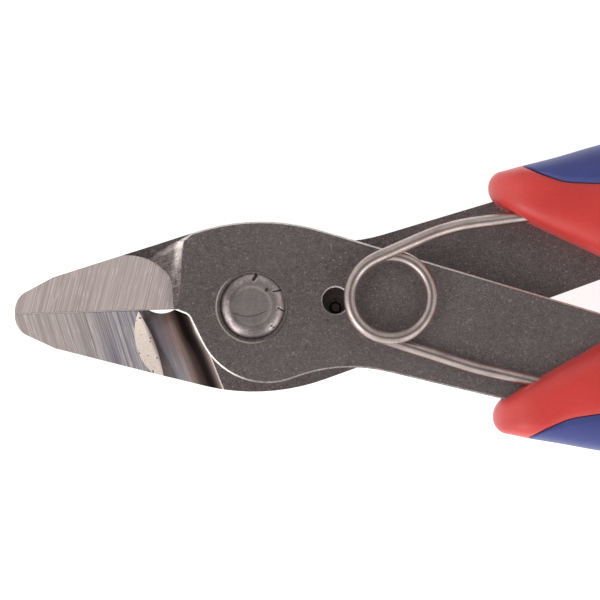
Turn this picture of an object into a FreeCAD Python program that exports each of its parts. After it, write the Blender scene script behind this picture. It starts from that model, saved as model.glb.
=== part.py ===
"""Diagonal cutting nippers for electronics work, as separate pieces, one STEP file each.

Frame, in millimetres: the origin is on the pivot's axis, in the plane where the two levers lap.
+X runs from the pivot towards the handles, +Y towards the upper handle and +Z out of the front face.
Both levers are shown closed. The front lever has the upper jaw and the lower handle.
"""
import FreeCAD, Part

import math
import os

V = FreeCAD.Vector

# Levers
PLATE = 3.0            # thickness of each lever's plate
LAP_GAP = 0.02         # each plate stands this far off the lap plane
EDGE_BREAK = 0.15      # small chamfer round the plates
TIP_X = -22.58         # tip of the jaws
NOSE = [(0.22, 1.2), (0.66, 1.78), (1.2, 2.12)]   # its round: how far behind the tip, and out from the edge
NOSE_END_X = -18.85    # rear end of the jaw's blunt nose
FLANK_ANGLE = 15.9     # outer flank of a jaw, degrees off the X axis
HEEL_R = 20.0          # long round of the lever behind its jaw
HEEL_X = 0.5           # where that round is highest
HEEL_Y = 8.1
TANG_IN_ANGLE = 18.2   # inner edge of the tang, degrees off the X axis
TANG_OUT_ANGLE = 15.0  # outer edge of the tang
HUB_X = 1.42           # centre of the round on the other side of the pivot
HUB_Y = 0.38
HUB_R = 6.89
HUB_MID = 250.0        # a direction from its centre in which the round passes
HUB_END = 204.8        # direction in which it ends
HUB_CORNER_X = -5.85   # corner between the hub and the throat
HUB_CORNER_Y = 1.03
LIP_BEND = (-0.28, 0.43)   # the throat's lip, from that corner: where it passes and where it ends
LIP_END = (-0.72, 0.66)
WAIST_R = 15.0         # hollow between hub and tang
WAIST_X = 8.75
THROAT_X = -7.4        # rear end of the cutting edge
SCOOP_START_X = -9.9   # hollow behind the lower jaw's cutting edge
SCOOP_LOW_X = -8.45
SCOOP_DEPTH = 0.36
NECK_X = 34.0          # the tang narrows from here to its knee, then tapers to its round end
KNEE_X = 47.0
KNEE_Y = 11.1
KNEE_HALF = 2.9
TANG_END_X = 80.0      # its end is an arc this far back, between corners TANG_CORNER in front of it
TANG_CORNER = 2.0
TANG_END_Y = 14.4
TANG_END_HALF = 1.8

# Jaws
EDGE_GAP = 0.006       # each cutting edge stands this far off the X axis
EDGE_Z = 1.95          # height of the cutting edges
EDGE_LAND = 0.42       # upright land between each cutting edge and the bevel behind it
FACE_RISE = 0.045      # the ground face rises outwards by this much per millimetre
FACE_HEEL = [(0.12, 1.7), (0.42, 3.2), (1.25, 4.1), (2.2, 4.75), (3.2, 5.12), (6.0, 5.4)]
#                        rear limit of the upper ground face: ahead of the throat, and out from the edge
JAW_DEPTH = 5.0        # a jaw is cut from stock this deep
JAW_BACK_Z = -2.2      # back of the upper jaw at its root
TAPER_X = -8.0         # both jaws thin from here to their tips
TIP_BACK_Z = -1.1      # back of a jaw at its tip
BEVEL_WIDTH = 3.2      # width of the bevel behind the cutting edge
UPPER_BEVEL_X = -8.4   # rear end of each jaw's bevel
LOWER_BEVEL_X = -11.3
GROOVE_ANGLE = 70.0    # milled groove between jaw and lap face, degrees off the X axis
GROOVE_START = 5.41    # distance from the pivot to the groove's edge on the lap face
GROOVE_R = 3.85
GROOVE_DEPTH = 0.25    # how far the groove goes below the lap face
GROOVE_WALL_Z = 2.5    # height up to which the groove's round runs
CREST_X = -5.98        # dish that takes the edge off the lower jaw's groove
CREST_Y = -1.73
CREST_R = 5.37         # its radius at the ground face, at this distance out from the edge
CREST_FACE_Y = 2.9
CREST_BALL_R = 12.0
SHOULDER_X = -6.15     # step from the flat plate down to the upper jaw, where its crease starts
SHOULDER_Y = 6.56
SHOULDER_LEAN = 92.0   # direction of the step, degrees off the X axis
SHOULDER_RISE = 5.0    # degrees by which it rises towards the cutting edge, where it runs out
SHOULDER_BEND = [(0.22, 0.04), (0.42, 0.15), (0.66, 0.32), (0.88, 0.445), (1.12, 0.52)]
#                        section of the step: how far out, and how far below the plate
FOOT_FALL = 0.15       # beyond the step it falls by this much per millimetre
SHOULDER_LOW_Y = 5.5   # until it is as low as the ground face is this far out
CREASE_END_X = -9.5    # crease between shoulder and rim, and where it ends
CREASE_END_Y = 4.87
CREASE_LIFT = 0.17     # the crease ends this far above the ground face
RIM_RUN = (-3.5, 0.5, -0.14)   # the rim's front facet, from there
RIM_FALL = 0.75        # the rim outside the crease falls by this much per millimetre
RIM_WIDTH = 2.0

# Pivot rivet and stop
SHANK_R = 2.5
RUNNING_GAP = 0.03
SINK_R = 3.4           # countersink at the plate's outer face
SINK_DEPTH = 1.1
SINK_BREAK = 0.08      # small chamfer round the front countersink
BACK_PLAY = 0.12       # the back head's cone stands this far off its countersink
HEAD_R = 2.95
HEAD_FLAT_R = 1.95
HEAD_PROUD = 0.2       # how far the head stands out of the plate
HEAD_BEVEL = (0.12, 0.35)   # the head's bevel: how far inside its side it ends, and how deep
HEAD_SIDE = 0.55       # depth at which its side begins
HEAD_PLAY = 0.02
BACK_FLAT_R = 2.25     # flat of the back head, and depth of its bevel
BACK_BEVEL = 0.35
DISH_DEPTH = 0.12
WINDOW_X = 7.95        # round window in the front lever
WINDOW_Y = 0.37
WINDOW_R = 1.26
WINDOW_BREAK = 0.14    # small chamfer round it
STOP_Y = -0.29         # stop pin, pressed into the back lever
STOP_R = 0.55
STOP_TOP_Z = 1.2
STOP_SUNK = 0.1        # its back end lies this far inside the lever's back
STOP_BEVEL = (0.15, 0.2)

# Opening spring
WIRE_R = 0.59
LOOP_X = 13.2
LOOP_Y = 0.56
LOOP_R = 3.95
LOOP_PITCH = 1.22
UPPER_LEG_ANGLE = 22.0  # direction in which each leg leaves the loop, degrees off the X axis
LOWER_LEG_ANGLE = 19.5
SPRING_Z = 3.65        # height of the rear turn and of the lower leg
LEG_BEND_R = 18.0
UPPER_LEG = [(18.9, 7.1, 4.3), (33.0, 8.5, 2.6)]             # its bend and its end
LOWER_LEG = [(21.0, -6.38, SPRING_Z), (33.0, -9.5, SPRING_Z)]

# Grips
GRIP_HALF = 6.0        # half thickness
GRIP_ROUND = 3.2
GRIP_STATIONS = [      # distance along, inner side, outer side, half thickness before the flats are cut
    (22.8, 8.6, 11.4, 3.4),
    (24.0, 6.0, 12.3, 4.7),
    (26.5, 3.0, 12.85, 5.5),
    (31.0, 1.0, 13.9, 6.0),
    (38.0, 3.2, 15.55, 6.15),
    (46.0, 5.75, 17.45, 6.15),
    (54.0, 8.1, 19.15, 6.15),
    (62.0, 9.4, 20.2, 6.15),
    (70.0, 9.7, 20.4, 6.15),
    (79.0, 9.0, 19.4, 6.15),
    (88.0, 7.6, 17.2, 6.1),
    (95.5, 6.5, 14.9, 6.0),
    (100.5, 6.6, 13.2, 5.3),
    (102.7, 8.0, 11.6, 3.6),
]
GRIP_FRONT = [(23.4, 9.1), (36.4, 2.1), (60.0, -10.6)]   # the slant from the nose to the inner side
SKIN = 1.9             # thickness of the outer grip overlay
OUTER_SIDE = [(28.4, 11.0), (50.8, 18.5), (66.8, 20.5), (87.8, 17.1), (96.9, 14.2)]
INNER_END = [(100.8, 9.9), (97.5, 8.0), (60.0, 0.0), (28.4, 0.0)]
SEAM = [(26.0, 12.75), (30.0, 10.8), (35.0, 10.6), (40.0, 11.8), (52.0, 14.4), (68.0, 15.8), (84.0, 13.9),
        (110.0, 8.0)]
POCKET_R = 1.0         # pocket that holds the end of a spring leg
POCKET_FRONT = 1.0     # it starts this far in front of the leg's bend
POCKET_END = 0.6       # and ends this far behind the leg

REACH = 130.0          # longer than the tool, for cuts that go right through
CLEAR_Z = 12.0         # further from the lap plane than anything on the tool


def at(x, y, z=0.0):
    return V(x, y, z)


def line(a, b):
    return Part.LineSegment(a, b).toShape()


def arc(a, mid, b):
    return Part.Arc(a, mid, b).toShape()


def curve(points):
    spline = Part.BSplineCurve()
    spline.interpolate(points)
    return spline.toShape()


def on_circle(cx, cy, r, degrees):
    angle = math.radians(degrees)
    return at(cx + r * math.cos(angle), cy + r * math.sin(angle))


def prism(edges, z0, z1):
    """A closed outline, pushed up from z0 to z1."""
    face = Part.Face(Part.Wire(edges))
    face.translate(at(0, 0, z0))
    return face.extrude(at(0, 0, z1 - z0))


def polygon(points, z0, z1):
    edges = [line(a, b) for a, b in zip(points, points[1:] + points[:1])]
    return prism(edges, z0, z1)


def turned_over(shape):
    """The same shape, turned half a turn about the X axis."""
    copy = shape.copy()
    copy.rotate(at(0, 0), at(1, 0), 180)
    return copy


def mirrored(shape):
    """The same shape on the other side of the XZ plane."""
    return shape.mirror(at(0, 0), at(0, 1))


def cylinder(r, z0, z1, x=0.0, y=0.0):
    return Part.makeCylinder(r, z1 - z0, at(x, y, z0))


def cone(r0, r1, z0, z1, x=0.0, y=0.0):
    return Part.makeCone(r0, r1, z1 - z0, at(x, y, z0))


def nose_points():
    """The blunt, rounded tip of a jaw, from the cutting edge to the straight part of its nose."""
    return [at(TIP_X, EDGE_GAP)] + [at(TIP_X + back, out) for back, out in NOSE]


def heel_edges(nose_end):
    """From the nose along the jaw's flank and round the heel to the tang's neck."""
    centre_y = HEEL_Y - HEEL_R
    a = on_circle(HEEL_X, centre_y, HEEL_R, 90 + FLANK_ANGLE)
    b = on_circle(HEEL_X, centre_y, HEEL_R, 90 - TANG_IN_ANGLE)
    flank = at(NOSE_END_X, a.y - (a.x - NOSE_END_X) * math.tan(math.radians(FLANK_ANGLE)))
    neck = at(NECK_X, b.y - (NECK_X - b.x) * math.tan(math.radians(TANG_IN_ANGLE)))
    return [
        line(nose_end, flank),
        line(flank, a),
        arc(a, on_circle(HEEL_X, centre_y, HEEL_R, 90), b),
        line(b, neck),
    ], neck


def tang_edges(neck, neck_back):
    """Round the part of the tang that lies inside the grip."""
    knee = at(KNEE_X, -KNEE_Y + KNEE_HALF)
    knee_back = at(KNEE_X, -KNEE_Y - KNEE_HALF)
    end_x = TANG_END_X - TANG_CORNER
    end = at(end_x, -TANG_END_Y + TANG_END_HALF)
    end_back = at(end_x, -TANG_END_Y - TANG_END_HALF)
    return [
        line(neck, knee),
        line(knee, end),
        arc(end, at(TANG_END_X, -TANG_END_Y), end_back),
        line(end_back, knee_back),
        line(knee_back, neck_back),
    ]


def hub_edges():
    """From the tang's neck along the waist and round the hub to the jaw's throat."""
    waist_y = -HUB_Y - math.sqrt((HUB_R + WAIST_R) ** 2 - (WAIST_X - HUB_X) ** 2)
    a = on_circle(WAIST_X, waist_y, WAIST_R, 90 - TANG_OUT_ANGLE)
    to_hub = math.degrees(math.atan2(-HUB_Y - waist_y, HUB_X - WAIST_X))
    b = on_circle(WAIST_X, waist_y, WAIST_R, to_hub)
    neck_back = at(NECK_X, a.y - (NECK_X - a.x) * math.tan(math.radians(TANG_OUT_ANGLE)))
    hub_end = on_circle(HUB_X, -HUB_Y, HUB_R, HUB_END)
    corner = at(HUB_CORNER_X, -HUB_CORNER_Y)
    lip = corner + at(*LIP_END)
    return neck_back, [
        line(neck_back, a),
        arc(a, on_circle(WAIST_X, waist_y, WAIST_R, 90), b),
        arc(b, on_circle(HUB_X, -HUB_Y, HUB_R, HUB_MID), hub_end),
        line(hub_end, corner),
        arc(corner, corner + at(*LIP_BEND), lip),
    ], lip


def lever_outline(scooped):
    """Outline of the lever that has the upper jaw and the lower handle.

    The scooped one has a small hollow behind its cutting edge.
    """
    nose = nose_points()
    heel, neck = heel_edges(nose[-1])
    neck_back, hub, lip = hub_edges()
    edge_end = at(THROAT_X, EDGE_GAP)
    edges = [curve(nose)] + heel + tang_edges(neck, neck_back) + hub + [line(lip, edge_end)]
    if scooped:
        scoop = at(SCOOP_START_X, EDGE_GAP)
        edges.append(arc(edge_end, at(SCOOP_LOW_X, SCOOP_DEPTH), scoop))
        edge_end = scoop
    edges.append(line(edge_end, nose[0]))
    return edges


def groove_cutter():
    """Everything in front of a lap face and of the groove beside it.

    It lies as on the back lever: the lap face is at the back and the groove leans to the lower right.
    """
    lap = -LAP_GAP
    centre_z = GROOVE_R - GROOVE_DEPTH
    half = math.sqrt(GROOVE_R ** 2 - (centre_z - lap) ** 2)
    centre_u = GROOVE_START + half
    wall_u = centre_u + math.sqrt(GROOVE_R ** 2 - (centre_z - GROOVE_WALL_Z) ** 2)
    points = {
        "far": (-REACH, lap),
        "start": (GROOVE_START, lap),
        "low": (centre_u, centre_z - GROOVE_R),
        "wall": (wall_u, GROOVE_WALL_Z),
        "above": (wall_u, CLEAR_Z),
        "far_above": (-REACH, CLEAR_Z),
    }
    lean = math.radians(GROOVE_ANGLE)
    out = V(-math.sin(lean), -math.cos(lean), 0)
    along = V(math.cos(lean), -math.sin(lean), 0)
    p = {name: out * u + V(0, 0, z) - along * REACH for name, (u, z) in points.items()}
    edges = [
        line(p["far"], p["start"]),
        arc(p["start"], p["low"], p["wall"]),
        line(p["wall"], p["above"]),
        line(p["above"], p["far_above"]),
        line(p["far_above"], p["far"]),
    ]
    return Part.Face(Part.Wire(edges)).extrude(along * 2 * REACH)


def ground_plane():
    """Everything in front of the upper jaw's ground face, however far it reaches."""
    side = REACH / 2
    rise = FACE_RISE * side
    corners = [
        at(-side, -side, EDGE_Z - rise),
        at(side, -side, EDGE_Z - rise),
        at(side, side, EDGE_Z + rise),
        at(-side, side, EDGE_Z + rise),
    ]
    face = Part.Face(Part.makePolygon(corners + corners[:1]))
    return face.extrude(at(0, -FACE_RISE, 1) * CLEAR_Z)


def face_limit():
    """The stretch of the upper jaw that is ground, seen from the front."""
    below = at(THROAT_X, -3)
    edge = at(THROAT_X, 0)
    heel = [at(THROAT_X - ahead, out) for ahead, out in FACE_HEEL]
    front = at(-REACH, heel[-1].y)
    front_below = at(-REACH, below.y)
    edges = [
        line(below, edge),
        curve([edge] + heel),
        line(heel[-1], front),
        line(front, front_below),
        line(front_below, below),
    ]
    return prism(edges, -CLEAR_Z, CLEAR_Z)


def shoulder_profile():
    """Section across the shoulder, as distance out and height, from the flat plate to the rim."""
    low_z = EDGE_Z + FACE_RISE * SHOULDER_LOW_Y
    bend = [(out, PLATE - down) for out, down in SHOULDER_BEND]
    foot_out, foot_z = bend[-1]
    low = (foot_out + (foot_z - low_z) / FOOT_FALL, low_z)
    return [(0.0, PLATE)] + bend + [low, (REACH, low_z), (REACH, CLEAR_Z), (0.0, CLEAR_Z)]


def shoulder_cutter():
    """Everything above the shoulder: a rounded step down from the flat plate, then a gentle slope."""
    lean = math.radians(SHOULDER_LEAN)
    rise = math.radians(SHOULDER_RISE)
    level = math.cos(rise)
    along = V(-math.cos(lean) * level, -math.sin(lean) * level, math.sin(rise))
    out = V(-math.sin(lean), math.cos(lean), 0)
    start = at(SHOULDER_X, SHOULDER_Y) - along * 20
    p = [start + out * d + V(0, 0, z) for d, z in shoulder_profile()]
    edges = [arc(p[0], p[1], p[2]), line(p[2], p[3]), arc(p[3], p[4], p[5])]
    for a, b in zip(p[5:], p[6:] + p[:1]):
        edges.append(line(a, b))
    return Part.Face(Part.Wire(edges)).extrude(along * 40)


def rim_cutters():
    """The facets that run down from the shoulder's crease, and from the ground face, to the flank."""
    crease = at(SHOULDER_X, SHOULDER_Y, PLATE - LAP_GAP)
    end = at(CREASE_END_X, CREASE_END_Y, EDGE_Z + FACE_RISE * CREASE_END_Y + CREASE_LIFT)
    before = crease + (crease - end) * 0.5
    beyond = end + at(*RIM_RUN)
    fall = at(0, RIM_WIDTH, -RIM_WIDTH * RIM_FALL)
    cutters = []
    for a, b in ((before, end), (end, beyond)):
        face = Part.Face(Part.makePolygon([a, b, b + fall, a + fall, a]))
        cutters.append(face.extrude(at(0, 0, CLEAR_Z)))
    return cutters


def crest_cutter():
    """A shallow dish that takes the edge off the lower jaw's groove."""
    face_z = EDGE_Z + FACE_RISE * CREST_FACE_Y
    centre = at(CREST_X, CREST_Y, face_z + math.sqrt(CREST_BALL_R ** 2 - CREST_R ** 2))
    return Part.makeSphere(CREST_BALL_R, centre)


def bevel_cutter(back_z, rear_x):
    """Everything behind the bevel that runs from the upper cutting edge to the jaw's back."""
    front_x = TIP_X - 1.0
    section = [
        at(front_x, -1, EDGE_Z - EDGE_LAND),
        at(front_x, EDGE_GAP, EDGE_Z - EDGE_LAND),
        at(front_x, BEVEL_WIDTH, back_z),
        at(front_x, BEVEL_WIDTH, -CLEAR_Z),
        at(front_x, -1, -CLEAR_Z),
    ]
    wire = Part.makePolygon(section + section[:1])
    return Part.Face(wire).extrude(at(rear_x - front_x, 0, 0))


def back_taper(root_z):
    """Everything behind the jaw's back, which thins from root_z towards the tip."""
    side = REACH / 2
    points = [
        at(REACH, -side, root_z),
        at(TAPER_X, -side, root_z),
        at(TIP_X, -side, TIP_BACK_Z),
        at(-REACH, -side, TIP_BACK_Z),
        at(-REACH, -side, -CLEAR_Z),
        at(REACH, -side, -CLEAR_Z),
    ]
    wire = Part.makePolygon(points + points[:1])
    return Part.Face(wire).extrude(at(0, 2 * side, 0))


def outer_edges(shape, z, x_min):
    """Edges of a plate's outline at height z, from x_min to the rear."""
    picked = []
    for edge in shape.Edges:
        box = edge.BoundBox
        flat = abs(box.ZMin - z) < 1e-6 and abs(box.ZMax - z) < 1e-6
        if flat and box.XMin > x_min:
            picked.append(edge)
    return picked


def flat_plate(outline):
    """The whole lever as a plate in front of the lap plane, its edges broken behind the jaw."""
    plate = prism(outline, LAP_GAP, PLATE)
    return plate.makeChamfer(EDGE_BREAK, outer_edges(plate, PLATE, NOSE_END_X))


def window():
    """The round window and the chamfer at its front."""
    hole = cylinder(WINDOW_R, -CLEAR_Z, CLEAR_Z, WINDOW_X, WINDOW_Y)
    rim = cone(WINDOW_R, WINDOW_R + WINDOW_BREAK, PLATE - WINDOW_BREAK, PLATE, WINDOW_X, WINDOW_Y)
    return hole.fuse(rim)


def front_sink():
    """The countersink under the rivet's front head, with a small chamfer round it."""
    sink = cone(SHANK_R, SINK_R, PLATE - SINK_DEPTH, PLATE)
    return sink.fuse(cone(SINK_R - SINK_BREAK, SINK_R + SINK_BREAK, PLATE - SINK_BREAK, PLATE))


def front_lever():
    """The lever with the upper jaw. Its jaw reaches behind the lap plane."""
    outline = lever_outline(False)
    lever = flat_plate(outline).fuse(prism(outline, -JAW_DEPTH, LAP_GAP)).removeSplitter()
    cutters = [
        turned_over(groove_cutter()),
        bevel_cutter(JAW_BACK_Z, UPPER_BEVEL_X),
        back_taper(JAW_BACK_Z),
        shoulder_cutter(),
        *rim_cutters(),
        ground_plane().common(face_limit()),
        cylinder(SHANK_R, -CLEAR_Z, CLEAR_Z),
        front_sink(),
        window(),
    ]
    for cutter in cutters:
        lever = lever.cut(cutter)
    return lever


def back_lever():
    """The other lever. Its jaw lies level with the upper one, in front of its own plate."""
    outline = lever_outline(True)
    jaw = mirrored(prism(outline, -LAP_GAP, JAW_DEPTH))
    lever = turned_over(flat_plate(outline)).fuse(jaw).removeSplitter()
    cutters = [
        groove_cutter(),
        crest_cutter(),
        mirrored(ground_plane()),
        mirrored(bevel_cutter(-PLATE, LOWER_BEVEL_X)),
        back_taper(-PLATE),
        cylinder(SHANK_R + RUNNING_GAP, -CLEAR_Z, CLEAR_Z),
        cone(SINK_R, SHANK_R + RUNNING_GAP, -PLATE, -PLATE + SINK_DEPTH),
        cylinder(STOP_R, -CLEAR_Z, CLEAR_Z, WINDOW_X, STOP_Y),
    ]
    for cutter in cutters:
        lever = lever.cut(cutter)
    return lever


def rivet_front():
    """Half section of the rivet's front end, from the axis out and down to the shank."""
    top = PLATE + HEAD_PROUD
    seat = PLATE - SINK_DEPTH
    seat_r = HEAD_R - HEAD_PLAY
    seat_top = seat + (seat_r - SHANK_R) * SINK_DEPTH / (SINK_R - SHANK_R)
    inside, deep = HEAD_BEVEL
    return {
        "axis": V(0, 0, top - DISH_DEPTH),
        "dish": V(HEAD_FLAT_R / 2, 0, top - DISH_DEPTH * 0.75),
        "rim": V(HEAD_FLAT_R, 0, top),
        "bevel": V(HEAD_R - inside, 0, PLATE - deep),
        "side": V(HEAD_R, 0, PLATE - HEAD_SIDE),
        "seat_top": V(seat_r, 0, seat_top),
        "seat": V(SHANK_R, 0, seat),
    }


def rivet_back(front):
    """Half section of the back end, which is plainer and has play in its countersink."""
    return {
        "seat": V(SHANK_R, 0, -front["seat"].z - RUNNING_GAP),
        "seat_top": V(HEAD_R, 0, -front["seat_top"].z - BACK_PLAY),
        "side": V(HEAD_R, 0, -PLATE + BACK_BEVEL),
        "rim": V(BACK_FLAT_R, 0, -PLATE - HEAD_PROUD),
        "axis": V(0, 0, -PLATE - HEAD_PROUD),
    }


def pivot_rivet():
    """One rivet, upset in both countersinks, with a shallow dish in the front head."""
    f = rivet_front()
    back = rivet_back(f)
    edges = [
        arc(f["axis"], f["dish"], f["rim"]),
        line(f["rim"], f["bevel"]),
        line(f["bevel"], f["side"]),
        line(f["side"], f["seat_top"]),
        line(f["seat_top"], f["seat"]),
        line(f["seat"], back["seat"]),
        line(back["seat"], back["seat_top"]),
        line(back["seat_top"], back["side"]),
        line(back["side"], back["rim"]),
        line(back["rim"], back["axis"]),
        line(back["axis"], f["axis"]),
    ]
    return Part.Face(Part.Wire(edges)).revolve(at(0, 0), V(0, 0, 1), 360)


def stop_pin():
    """The pin that meets the window's edge when the levers are fully open."""
    inside, deep = STOP_BEVEL
    pin = cylinder(STOP_R, -PLATE + STOP_SUNK, STOP_TOP_Z - deep, WINDOW_X, STOP_Y)
    top = cone(STOP_R, STOP_R - inside, STOP_TOP_Z - deep, STOP_TOP_Z, WINDOW_X, STOP_Y)
    return pin.fuse(top).removeSplitter()


def loop_turns():
    """How many turns the loop makes from the lower leg to the upper one."""
    return (360 + 180 - UPPER_LEG_ANGLE - LOWER_LEG_ANGLE) / 360


def leg_corners(side):
    """Route of one spring leg, from the loop to its end inside the grip."""
    lean = math.radians(UPPER_LEG_ANGLE if side > 0 else LOWER_LEG_ANGLE)
    y = LOOP_Y + side * LOOP_R * math.cos(lean)
    z = SPRING_Z + (LOOP_PITCH * loop_turns() if side > 0 else 0.0)
    start = V(LOOP_X - LOOP_R * math.sin(lean), y, z)
    return [start] + [V(*point) for point in (UPPER_LEG if side > 0 else LOWER_LEG)]


def bent_path(a, corner, b, radius):
    """Two straight runs joined by a tangent arc."""
    into = (corner - a).normalize()
    out = (b - corner).normalize()
    turn = into.getAngle(out)
    back = radius * math.tan(turn / 2)
    p = corner - into * back
    q = corner + out * back
    bisector = (out - into).normalize()
    centre = corner + bisector * (radius / math.cos(turn / 2))
    mid = centre - bisector * radius
    return Part.Wire([line(a, p), arc(p, mid, q), line(q, b)])


def sweep(path, start, direction, r):
    circle = Part.Wire(Part.Circle(start, direction, r).toShape())
    return path.makePipeShell([circle], True, True)


def spring_leg(side):
    a, corner, b = leg_corners(side)
    path = bent_path(a, corner, b, LEG_BEND_R)
    return sweep(path, a, corner - a, WIRE_R)


def spring_loop():
    """The loop: a little over one turn and a third of a left-handed coil."""
    helix = Part.makeHelix(LOOP_PITCH, LOOP_PITCH * loop_turns(), LOOP_R, 0, True)
    helix.rotate(at(0, 0), V(0, 0, 1), 270 - LOWER_LEG_ANGLE)
    helix.translate(V(LOOP_X, LOOP_Y, SPRING_Z))
    path = Part.Wire(helix.Edges)
    first = path.Edges[0]
    start = first.valueAt(first.FirstParameter)
    return sweep(path, start, first.tangentAt(first.FirstParameter), WIRE_R)


def opening_spring():
    joined = spring_loop()
    for side in (1, -1):
        a = leg_corners(side)[0]
        joined = joined.fuse(Part.makeSphere(WIRE_R + 0.01, a))
        joined = joined.fuse(spring_leg(side))
    return joined


def grip_section(x, y_in, y_out, half):
    """One cross-section of the upper grip: a rectangle with rounded corners, across the handle."""
    r = min(GRIP_ROUND, 0.48 * (y_out - y_in))
    c = r * (1 - math.sqrt(0.5))
    edges = []
    for sign_y, sign_z in ((1, 1), (-1, 1), (-1, -1), (1, -1)):
        y = y_out if sign_y > 0 else y_in
        z = sign_z * half
        side = V(x, y, z - sign_z * r)
        corner = V(x, y - sign_y * c, z - sign_z * c)
        flat = V(x, y - sign_y * r, z)
        turn = (side, corner, flat) if sign_y * sign_z > 0 else (flat, corner, side)
        edges.append(turn)
    shapes = []
    for this, following in zip(edges, edges[1:] + edges[:1]):
        shapes.append(arc(*this))
        shapes.append(line(this[2], following[0]))
    return Part.Wire(shapes)


def grip_block():
    """The whole upper grip, lofted through its sections, with a flat top and underside."""
    block = Part.makeLoft([grip_section(*station) for station in GRIP_STATIONS], True, True)
    block = block.common(Part.makeBox(REACH, REACH, 2 * GRIP_HALF, at(0, -REACH / 2, -GRIP_HALF)))
    front = [at(0, -REACH), at(0, 21.8)] + [at(x, y) for x, y in GRIP_FRONT] + [at(60.0, -REACH)]
    return block.cut(polygon(front, -CLEAR_Z, CLEAR_Z))


def skin_outline():
    """Outline of the inner block that the outer overlay is moulded over."""
    start = at(*OUTER_SIDE[0])
    shoulder, crown, waist, tail = (at(x, y - SKIN) for x, y in OUTER_SIDE[1:])
    end, corner, middle, front = (at(x, y) for x, y in INNER_END)
    return [
        line(start, shoulder),
        arc(shoulder, crown, waist),
        line(waist, tail),
        arc(tail, end, corner),
        line(corner, middle),
        line(middle, front),
        line(front, start),
    ]


def overlay_zone():
    """The outer side of the grip, behind a seam that slants back from the outer edge."""
    p = [at(x, y) for x, y in SEAM]
    far = [at(p[-1].x, 30.0), at(p[0].x, 30.0)]
    edges = [
        line(p[0], p[1]),
        arc(p[1], p[2], p[3]),
        line(p[3], p[4]),
        arc(p[4], p[5], p[6]),
        line(p[6], p[7]),
        line(p[7], far[0]),
        line(far[0], far[1]),
        line(far[1], p[0]),
    ]
    return prism(edges, -CLEAR_Z, CLEAR_Z)


def grip_pieces():
    """Core and overlay of the upper grip, not yet hollowed for the lever and the spring leg."""
    block = grip_block()
    inner = prism(skin_outline(), -GRIP_HALF + SKIN, GRIP_HALF - SKIN)
    skin = overlay_zone().cut(inner)
    return block.cut(skin), block.common(skin)


def leg_pocket(side):
    """The clearance pocket round the end of a spring leg, open at the front of the grip."""
    _, corner, end = leg_corners(side)
    out = (end - corner).normalize()
    start = corner - out * POCKET_FRONT
    return Part.makeCylinder(POCKET_R, (end - start).Length + POCKET_END, start, out)


def solids_only(shape):
    solids = shape.Solids
    if len(solids) == 1:
        return solids[0]
    return Part.makeCompound(solids)


def build():
    front = front_lever()
    back = back_lever()
    core, overlay = grip_pieces()
    pieces = {
        "front_lever": front,
        "back_lever": back,
        "pivot_rivet": pivot_rivet(),
        "stop_pin": stop_pin(),
        "opening_spring": opening_spring(),
        "upper_grip_core": core.cut(back).cut(leg_pocket(1)),
        "upper_grip_overlay": overlay,
        "lower_grip_core": mirrored(core).cut(front).cut(leg_pocket(-1)),
        "lower_grip_overlay": mirrored(overlay),
    }
    os.makedirs("parts", exist_ok=True)
    for name, shape in pieces.items():
        piece = solids_only(shape)
        piece.exportStep(os.path.join("parts", name + ".step"))
        box = piece.BoundBox
        print(
            f"{name}: solids {len(shape.Solids)}, valid {piece.isValid()}, volume {piece.Volume:.1f},"
            f" x {box.XMin:.2f}..{box.XMax:.2f}, y {box.YMin:.2f}..{box.YMax:.2f},"
            f" z {box.ZMin:.2f}..{box.ZMax:.2f}"
        )


build()
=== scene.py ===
"""Looks of the diagonal cutting pliers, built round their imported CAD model.

Blender's frame is the model's own: the pivot's axis is Z, the jaws point along -X, the handles along +X.
Numbers in this file are millimetres, or per millimetre for texture scales, until MM turns them to metres.
Only the stage is given in metres.
"""

import math

import bmesh
import bpy
import numpy as np
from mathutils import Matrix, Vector


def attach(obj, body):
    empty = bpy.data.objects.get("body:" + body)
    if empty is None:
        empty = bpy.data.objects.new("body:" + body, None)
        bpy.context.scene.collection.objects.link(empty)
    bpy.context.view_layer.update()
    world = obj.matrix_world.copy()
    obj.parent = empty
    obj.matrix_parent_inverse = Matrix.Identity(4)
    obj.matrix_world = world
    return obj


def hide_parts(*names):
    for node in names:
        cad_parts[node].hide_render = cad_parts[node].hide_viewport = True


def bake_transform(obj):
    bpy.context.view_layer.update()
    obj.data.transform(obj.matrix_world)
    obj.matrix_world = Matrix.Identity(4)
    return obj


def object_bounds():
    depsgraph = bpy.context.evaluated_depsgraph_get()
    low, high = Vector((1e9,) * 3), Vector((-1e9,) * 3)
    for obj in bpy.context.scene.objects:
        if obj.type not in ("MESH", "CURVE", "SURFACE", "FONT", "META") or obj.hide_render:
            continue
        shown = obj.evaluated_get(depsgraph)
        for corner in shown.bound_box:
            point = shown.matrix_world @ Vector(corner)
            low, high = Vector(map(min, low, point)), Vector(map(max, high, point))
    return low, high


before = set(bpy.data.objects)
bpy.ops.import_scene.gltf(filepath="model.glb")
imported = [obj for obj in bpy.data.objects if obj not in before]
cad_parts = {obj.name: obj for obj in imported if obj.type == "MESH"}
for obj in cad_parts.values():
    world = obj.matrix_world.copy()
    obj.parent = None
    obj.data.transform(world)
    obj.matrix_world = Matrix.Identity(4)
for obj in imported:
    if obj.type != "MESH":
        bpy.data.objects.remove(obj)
cad_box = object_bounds()

MM = 0.001
PLATE = 3.0                    # thickness of a lever, and height of the joint's front face

# Camera, straight above the joint
VIEW_X, VIEW_Y = 4.58, 0.53
VIEW_WIDTH = 57.0
VIEW_DISTANCE = 600.0
VIEW_ROLL = -1.7
SENSOR = 36.0

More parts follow.
